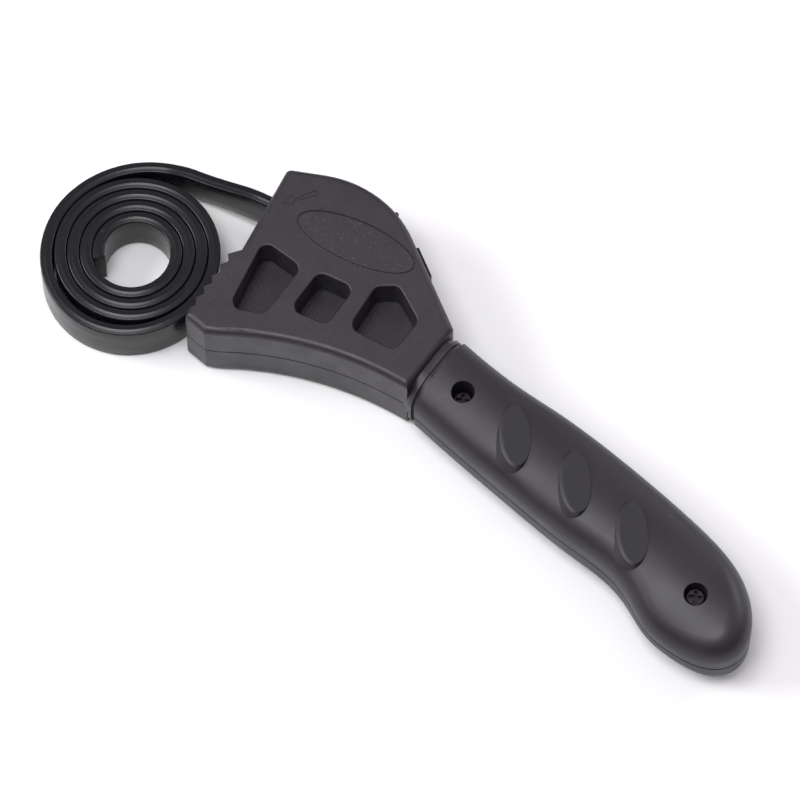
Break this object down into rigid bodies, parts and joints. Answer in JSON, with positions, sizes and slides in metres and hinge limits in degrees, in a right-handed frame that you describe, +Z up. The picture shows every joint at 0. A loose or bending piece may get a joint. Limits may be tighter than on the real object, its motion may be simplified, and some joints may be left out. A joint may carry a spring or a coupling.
{
  "type": "strap wrench",
  "caption": "Strap wrench with a toothed moulded head, a rubber-skinned handle and a rubber strap that leaves a slot in the head and lies coiled beside the jaw.",
  "frame": {"origin": "on the underside of the head, below the middle of its oval panel", "axes": "+X along the strap slot from its mouth towards the handle, +Z up from the face the wrench lies on, +Y towards the back edge of the head"},
  "size_m": [0.2581, 0.0956, 0.0265],
  "materials": {
    "shell": "fine spark-eroded texture",
    "grip": "smooth satin",
    "strap": "smooth, slightly glossy",
    "steel": "black oxide"
  },
  "bodies": {
    "wrench": {"body_half_upper": "shell", "body_half_lower": "shell", "grip_skin_upper": "grip", "grip_skin_lower": "grip", "screw_front": "steel", "screw_rear": "steel", "strap_root": "strap"},
    "strap_lead": {"strap_lead": "strap"},
    "strap_coil": {"strap_coil": "strap"}
  },
  "joints": [
    {"name": "strap_swing", "type": "hinge", "parent": "wrench", "child": "strap_lead", "pos_m": [-0.0353, 0.0035, 0.013], "axis": [0, 0, -1], "range_deg": [0, 75]},
    {"name": "coil_swing", "type": "hinge", "parent": "strap_lead", "child": "strap_coil", "pos_m": [-0.05827, 0.0035, 0.0075], "axis": [0, 0, -1], "range_deg": [0, 40]}
  ]
}
